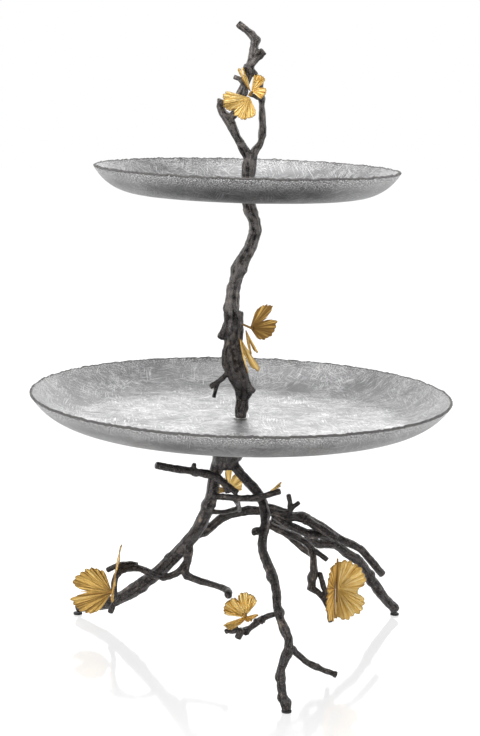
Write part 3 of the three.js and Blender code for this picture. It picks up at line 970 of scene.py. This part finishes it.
@dataclass
class Stud:
    """A threaded stud that replaces a plain CAD rod.

    Attributes:
        node, body: the CAD rod, and the body that the stud rides on.
        pitch, depth: the thread's.
        lead_in: how far from each end the thread takes to reach its depth.
        sides, rows_per_turn: the points round the rod, and along each turn of the thread.
    """

    node: str
    body: str
    pitch: float = 0.8 * MM
    depth: float = 0.40 * MM
    lead_in: float = 0.6 * MM
    sides: int = 32
    rows_per_turn: int = 8

    def build(self, finishes: Finishes) -> bpy.types.Object:
        """Makes the thread by shaping a finely divided rod, then dresses and attaches it."""
        low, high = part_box(self.node)
        radius, length = high.x, high.z - low.z
        clear_selection()
        bpy.ops.mesh.primitive_cylinder_add(
            vertices=self.sides, radius=radius, depth=length, location=(0, 0, 0.5 * (low.z + high.z))
        )
        piece = named(f"{self.node}_thread")
        place_applied(piece)
        rows = round(length / self.pitch * self.rows_per_turn)
        with editing("EDGE", "DESELECT"):
            bpy.ops.object.mode_set(mode="OBJECT")
            for edge in piece.data.edges:
                a, b = (piece.data.vertices[i].co for i in edge.vertices)
                edge.select = abs(a.z - b.z) > 0.5 * length
            bpy.ops.object.mode_set(mode="EDIT")
            bpy.ops.mesh.subdivide(number_cuts=rows - 1, quadcorner="INNERVERT")
        places = corners(piece)
        around = np.arctan2(places[:, 1], places[:, 0]) / TAU
        turn = (places[:, 2] - low.z) / self.pitch - around
        crest = np.abs(2 * (turn % 1) - 1)
        end = np.minimum(places[:, 2] - low.z, high.z - places[:, 2])
        taper = np.clip(end / self.lead_in, 0, 1)
        scale = 1 - self.depth / radius * np.clip(1.25 * (1 - crest * taper), 0, 1)
        places[:, :2] *= scale[:, None]
        set_corners(piece, places)
        shade_smooth(piece, 40)
        return finishes.dress(piece, Finish.ZINC, self.body, self.node)


@dataclass
class Disc:
    """A round pad or washer with softened edges, in place of a plain CAD disc."""

    node: str
    body: str
    finish: Finish
    hole_radius: float = 0.0
    edge: float = 0.25 * MM
    segments: int = 48

    def build(self, finishes: Finishes) -> bpy.types.Object:
        """Turns the disc from its section, then dresses and attaches it."""
        low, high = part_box(self.node)
        radius = 0.5 * (high.x - low.x)
        edge, bevel = self.edge, 0.3 * self.edge
        start = self.hole_radius or 0.02 * MM
        lower = [(start, 0), (radius - edge, 0), (radius - bevel, bevel), (radius, edge)]
        section = [(x, low.z + z) for x, z in lower] + [(x, high.z - z) for x, z in reversed(lower)]
        piece = spun(f"{self.node}_disc", section, self.segments)
        centre = 0.5 * (low + high)
        set_corners(piece, corners(piece) + np.array([centre.x, centre.y, 0]))
        if not self.hole_radius:
            merge_doubles(piece, 0.05 * MM, outwards=True)
        shade_smooth(piece, 35)
        return finishes.dress(piece, self.finish, self.body, self.node)


# ---------------------------------------------------------------- the studio


@dataclass
class Studio:
    """A white floor, soft light from above and behind, and the camera.

    Attributes:
        camera_place: where the camera stands, in metres.
        pitch, roll, yaw: its turns in degrees.
        lens: its focal length in millimetres.
        floor_size: the floor's side.
        floor_gloss, floor_glow: the shares of mirror and of its own light in the floor.
        front_light, back_light, side_light: the room's light in front, behind and added at both sides.
    """

    camera_place: Triple = (0, -1.5, 0.504)
    pitch: float = 80.08
    roll: float = 1.57
    yaw: float = 0.06
    lens: float = 88.4
    floor_size: float = 12
    floor_gloss: float = 0.18
    floor_glow: float = 0.7
    front_light: float = 0.40
    back_light: float = 1.12
    side_light: float = 1.3

    def add_camera(self) -> None:
        """Adds the camera and makes it the scene's."""
        data = bpy.data.cameras.new("camera")
        data.lens = self.lens
        data.sensor_width = 36
        camera = bpy.data.objects.new("camera", data)
        turn = (
            Matrix.Rotation(math.radians(self.yaw), 4, "Z")
            @ Matrix.Rotation(math.radians(self.pitch), 4, "X")
            @ Matrix.Rotation(math.radians(self.roll), 4, "Z")
        )
        camera.matrix_world = Matrix.Translation(self.camera_place) @ turn
        bpy.context.scene.collection.objects.link(camera)
        bpy.context.scene.camera = camera

    def add_floor(self) -> None:
        """Adds a large white floor with a faint gloss."""
        clear_selection()
        bpy.ops.mesh.primitive_plane_add(size=self.floor_size, location=(0, 0, -0.0002))
        floor = named("floor")
        graph = Graph("white_floor")
        mottle = graph.noise(graph.object_place(), 3, 2)
        white = graph.blend(mottle, (0.87, 0.87, 0.87), (0.89, 0.89, 0.89))
        matt = graph.node("ShaderNodeBsdfDiffuse", {}, {"Color": white})
        glow = graph.node("ShaderNodeEmission", {}, {"Color": (1, 1, 1), "Strength": 1.15})
        pale = graph.node("ShaderNodeMixShader", {}, {0: self.floor_glow, 1: matt, 2: glow})
        gloss = graph.node("ShaderNodeBsdfGlossy", {}, {"Color": (1, 1, 1), "Roughness": 0.08})
        both = graph.node("ShaderNodeMixShader", {}, {0: self.floor_gloss, 1: pale, 2: gloss})
        graph.show(both)
        floor.data.materials.append(graph.material)

    def add_light(
        self, name: str, place: Triple, target: Triple, size: tuple[float, float], power: float
    ) -> None:
        """Adds a soft light.

        Args:
            name: the light's name.
            place, target: where it stands and the point that it faces, in metres.
            size: its width and height.
            power: its power in watts.
        """
        data = bpy.data.lights.new(name, "AREA")
        data.shape = "RECTANGLE"
        data.size, data.size_y = size
        data.energy = power
        light = bpy.data.objects.new(name, data)
        aim = (Vector(target) - Vector(place)).to_track_quat("-Z", "Y")
        light.matrix_world = Matrix.Translation(place) @ aim.to_matrix().to_4x4()
        bpy.context.scene.collection.objects.link(light)

    def add_world(self) -> None:
        """Adds the room's light: white to look at, and shaded from bright behind to grey in front."""
        world = bpy.data.worlds.new("room")
        bpy.context.scene.world = world
        room = NodeTree(world, "ShaderNodeOutputWorld")
        place = room.node("ShaderNodeTexCoord", output="Generated")
        aside = room.node("ShaderNodeSeparateXYZ", {}, {0: place}, "X").size()
        behind = room.node("ShaderNodeSeparateXYZ", {}, {0: place}, "Y")
        front, back = self.front_light, self.back_light
        light = front + (back - front) * behind.step(-0.7, 0.75) + self.side_light * aside.step(0.78, 0.9)
        looked_at = room.node("ShaderNodeLightPath", output="Is Camera Ray")
        strength = room.node("ShaderNodeMix", {}, {0: looked_at, 2: light, 3: 1.0})
        room.show(room.node("ShaderNodeBackground", {}, {"Color": (1, 1, 1), "Strength": strength}))

    def build(self) -> None:
        """Adds everything, and shows colours as they are."""
        bpy.context.scene.view_settings.view_transform = "Standard"
        self.add_camera()
        self.add_floor()
        self.add_world()
        self.add_light("back_panel", (0.1, 1.9, 1.1), (0, 0, 0.25), (2.4, 1.4), 12)
        self.add_light("top_panel", (-0.2, -0.1, 2.2), (0, 0, 0.2), (1.6, 1.6), 26)
        self.add_light("front_panel", (-1.3, -1.6, 1.3), (0, 0, 0.2), (0.9, 1.2), 20)


# ---------------------------------------------------------------- the stand

BASE_CASTINGS = (
    Casting(
        "hub_and_legs", "base",
        ("hub", "left_leg", "front_leg", "left_wavy_twig", "left_wavy_fork", "left_dropping_twig",
         "upper_crossing_twig", "front_crossing_twig", "lower_crossing_twig"),
        knots=(
            Knot((-43, 10, 74), 5, 1.8), Knot((-97, 54, 33), 4, 1.5), Knot((-25, 0, 122), 5, 1.6),
            Knot((21, -85, 95), 3.5, 2), Knot((30.5, -152, 29), 3.5, 2.2), Knot((44, -163, 8), 4, 2.4),
            Knot((-45, 10, 60), 3.5, 1.8), Knot((-7, -25, 54), 4.5, 1.8), Knot((24, -40, 116), 4, 1.2),
            Knot((38, -140, 58), 4, 1.2), Knot((20, -20, 135), 4, 1.2), Knot((-28, -8, 151), 4, 1),
            Knot((36, -154, 12), 4, 1.0), Knot((-70, 16, 53), 3, 0.9),
        ),
        snags=(
            Snag((-2, -15, 131), (0, 8, 122), 2.2, 1.9), Snag((0, 8, 122), (1, 37, 109), 2, 2.2),
            Snag((-12, -10, 147), (-9, -12, 136), 2.4, 2.2),
        ),
        voxel=0.65 * MM,
    ),
    Casting(
        "right_branches", "base",
        ("back_arch", "outer_right_branch", "inner_right_branch", "right_leg", "upright_fork_twig",
         "side_fork_twig"),
        knots=(
            Knot((57, 50, 103), 4, 1.2), Knot((58, 48, 96), 3.5, 1.3), Knot((120, 77, 34), 4.5, 1.8),
            Knot((146, 92, 5), 4, 1.6), Knot((44, 46, 102), 5, 1.8), Knot((86, 50, 84), 3, 1.0),
            Knot((98, 52, 78), 4, 1.0), Knot((76, 56, 75), 4, 1.2), Knot((10, 42, 109), 4, 1.0),
        ),
        snags=(
            Snag((25, 38, 114), (43, 42, 109), 1.3, 1.1), Snag((60, 49, 99), (72, 46, 93), 3.2, 3.3),
            Snag((72, 46, 93), (88, 44, 83.5), 3.3, 3.1),
        ),
    ),
    Casting(
        "hanging_twigs", "base",
        ("hanging_twig", "hanging_back_twig", "hanging_twig_tip", "small_hanging_twig",
         "front_leg_left_twig", "front_leg_right_twig"),
        knots=(
            Knot((64, -27, 59), 3.5, 1.5), Knot((50, -36, 107), 3.5, 1.0), Knot((63, -31, 92), 3.5, 1.2),
            Knot((66, -150, 34), 2.5, 1.3), Knot((10, -112, 47), 3, 1.0),
        ),
        snags=(
            Snag((6, -120, 52), (2.8, -120, 44.5), 2.6, 2.5), Snag((8, -119, 52), (10, -120, 47.5), 2, 2),
            Snag((2, -120, 54), (-7.6, -121, 49.5), 1.9, 1.9),
            Snag((16, -117, 57), (23, -119, 60), 2.2, 2.0),
        ),
        voxel=0.5 * MM,
    ),
)

STEM_CASTING = Casting(
    "stem_casting", "stem", ("stem", "stem_left_stub", "stem_upright_twig", "stem_low_twig"),
    knots=(
        Knot((-11, -2, 326), 4, 1.6), Knot((1, -3, 324), 4, 1.4), Knot((7, -2, 221), 4, 2.0),
        Knot((8, -2, 356), 4, 1.3), Knot((0, -3, 375), 4, 1.0), Knot((-10, -4, 292), 5, 0.9),
        Knot((10, -4, 222), 4, 1.8), Knot((-18, -2, 268), 3, 0.8), Knot((-8.5, -7, 262), 2, -1.6),
        Knot((-7.8, -7, 257), 2, -2), Knot((-6.5, -7, 252), 2, -2), Knot((-5, -7, 247), 2, -1.8),
        Knot((-2.5, -7, 241), 2, -1.5),
    ),
    snags=(
        Snag((-12, -2, 286), (-15, -3, 276), 2.2, 2.8), Snag((-15, -3, 276), (-17.5, -2, 267), 2.8, 2.6),
        Snag((-11, -4, 268), (-15, -5, 256), 2.2, 2.4), Snag((-15, -5, 256), (-14.4, -5, 245), 2.4, 2.5),
        Snag((-14.4, -5, 245), (-8.5, -5, 233), 2.5, 2.4), Snag((-8.5, -5, 233), (-3, -4, 225), 2.4, 2.0),
        Snag((-1.6, -6, 275), (-3.3, -6, 262), 1.9, 2.1), Snag((-3.3, -6, 262), (0, -5, 248), 2.1, 2.2),
        Snag((0, -5, 248), (4, -4, 233), 2.2, 2.2), Snag((4, -4, 233), (8, -4, 223), 2.2, 2.4),
    ),
    voxel=0.5 * MM,
)

HANDLE_CASTING = Casting(
    "handle_casting", "handle",
    ("handle_trunk", "handle_left_prong", "handle_neck", "handle_right_prong", "handle_crown",
     "handle_short_stub", "handle_front_twig"),
    knots=(
        Knot((6, 0, 514), 3.2, 1.6), Knot((4, 0, 424), 3.5, 1.2), Knot((-5, 0, 493), 3, 1.6),
        Knot((-17, -2, 450), 4, 1.2), Knot((13, 1, 466), 3, 1.1), Knot((12, 1, 440), 4, 0.6),
    ),
    snags=(Snag((0, -6, 470), (11, 0, 466), 1.6, 1.5),),
    voxel=0.45 * MM,
)

LEAVES = (
    Leaf(
        "left_butterfly_wide_leaf", "base", (-1, 0.02, -0.02), (0, -1, 0.6),
        ((-67, -4, 42, 0.46), (3, 58, 41, 0.42)), notch=0.68, rib=0.8, phase=0.4, tone=0.25,
        spine=Snag((-112, 30, 33), (-106, 28, 35), 1.3, 1.5),
    ),
    Leaf(
        "left_butterfly_side_leaf", "base", (0.07, -1, 0), (1, 0.06, -0.14),
        ((-88, -8, 28, 0), (8, 88, 28, 0)), cup=0.02, fold=0.02, wave=0.8, tone=0.3,
    ),
    Leaf(
        "front_butterfly_wide_leaf", "base", (-0.38, 0.1, 0.92), (0, -1, 0.15),
        ((-58, -3, 21, 0.1), (3, 60, 20, 0.1)), notch=0.85, cleft=3, rib=2.6, phase=1.3, tone=1.3,
        spine=Snag((7.6, -124.5, 66.5), (8.6, -126, 62.5), 1.2, 1.8),
    ),
    Leaf(
        "front_butterfly_side_leaf", "base", (-0.1, -1, -0.05), (-0.33, 0.2, 1),
        ((-80, -5, 22, 0.12), (5, 75, 14, 0.1)), rib=0.9, cup=0.03, fold=0.02, phase=2.2, tone=0.4,
    ),
    Leaf(
        "right_butterfly_wide_leaf", "base", (1, -0.1, 0), (0, -1, 0.15),
        ((-88, -14, 27, 0), (10, 92, 27, 0)), notch=0.64, widen=4, rib=0.7, phase=3.1, tone=0.7,
        spine=Snag((85.3, -35, 36), (84.6, -35, 88), 0.9, 0.8),
    ),
    Leaf(
        "right_butterfly_side_leaf", "base", (-0.33, -0.94, 0), (0.94, -0.33, 0),
        ((-86, -8, 31, 0.14), (8, 84, 30, 0.1)), notch=0.8, cup=0.03, fold=0.02, phase=4.4, tone=0.2,
    ),
    Leaf(
        "hub_butterfly_wide_leaf", "base", (0.1, 0.6, 0.6), (1, -0.45, 0.3),
        ((-60, -4, 21, 0), (5, 60, 22, 0)),
    ),
    Leaf(
        "hub_butterfly_side_leaf", "base", (-0.8, 0.5, 0.35), (-0.2, -0.8, 0.5),
        ((-40, -3, 14, 0), (5, 42, 14, 0)),
    ),
    Leaf(
        "crossing_twig_leaf", "base", (0.75, -0.3, 0.5), (-0.45, -0.2, 0.9),
        ((-15, -2, 13, 0), (3, 15, 13, 0)), wave=0.4,
    ),
    Leaf(
        "stem_butterfly_wide_leaf", "stem", (1, -0.3, 0.05), (0.25, -1, 0.2),
        ((-50, 28, 28, 0.5), (34, 71, 32, 0.44)), notch=0.58, cleft=9, rib=0.3, wave=0.6, phase=3.6,
        tone=-0.12,
        spine=Snag((-1, -12, 281), (8.5, -14.6, 277.5), 0.9, 1.0),
    ),
    Leaf(
        "stem_butterfly_side_leaf", "stem", (0.27, -0.35, -0.85), (1, -0.6, 0.35),
        ((-18, -3, 24, 0), (4, 18, 22, 0)), teeth=4, rib=0.4, wave=0.5, tone=0.0,
    ),
    Leaf(
        "stem_butterfly_low_leaf", "stem", (0.23, -0.3, -1), (1, -0.6, 0.35),
        ((-20, -2, 33, 0), (3, 20, 33, 0)), teeth=4, rib=0.4, cup=0.2, fold=0.4, wave=0.5,
    ),
    Leaf(
        "handle_butterfly_wide_leaf", "handle", (-1, 0, 0), (0, -1, 0.25),
        ((-12, 37, 23, 0), (42, 112, 21, 0.2)), notch=0.88, cleft=3, phase=5.2, tone=0.6,
        spine=Snag((0, -9.5, 468.5), (2.2, -9, 472.5), 1.5, 1.2),
    ),
    Leaf(
        "handle_butterfly_side_leaf", "handle", (1, -0.2, 0.45), (-0.3, -1, 0.3),
        ((-62, -5, 13, 0), (5, 58, 14.5, 0)), rib=1.4, phase=6.1, tone=0.6,
    ),
    Leaf(
        "handle_butterfly_upright_leaf", "handle", (-0.47, 0.1, 0.88), (0.85, -0.35, 0.45),
        ((-24, -3, 21, 0), (4, 26, 21, 0)), phase=0.9,
    ),
)


def report(piece: bpy.types.Object) -> None:
    """Logs a finished piece and its number of faces, and stops the build if it came out empty."""
    faces = len(piece.data.polygons)
    if not faces:
        raise ValueError(f"{piece.name} has no faces")
    LOG.info("%s: %d faces", piece.name, faces)


def main() -> None:
    """Builds the studio and every piece, in order."""
    logging.basicConfig(level=logging.INFO, format="%(message)s")
    Studio().build()
    finishes = Finishes()
    parts: Iterable[object] = (
        *BASE_CASTINGS,
        STEM_CASTING,
        HANDLE_CASTING,
        Dish("lower_dish", "lower_tier", 135 * MM, 23.5 * MM),
        Dish("upper_dish", "upper_tier", 91 * MM, 21.4 * MM),
        *LEAVES,
        Stud("hub_stud", "base"),
        Stud("stem_stud", "stem"),
        Disc("stem_washer", "stem_seat", Finish.ZINC, 2.8 * MM),
        Disc("handle_washer", "handle_seat", Finish.ZINC, 2.8 * MM),
        *(Disc(f"{side}_foot_pad", "base", Finish.RUBBER) for side in ("left", "right", "front")),
    )
    for part in parts:
        report(part.build(finishes))


if __name__ == "__main__":
    main()
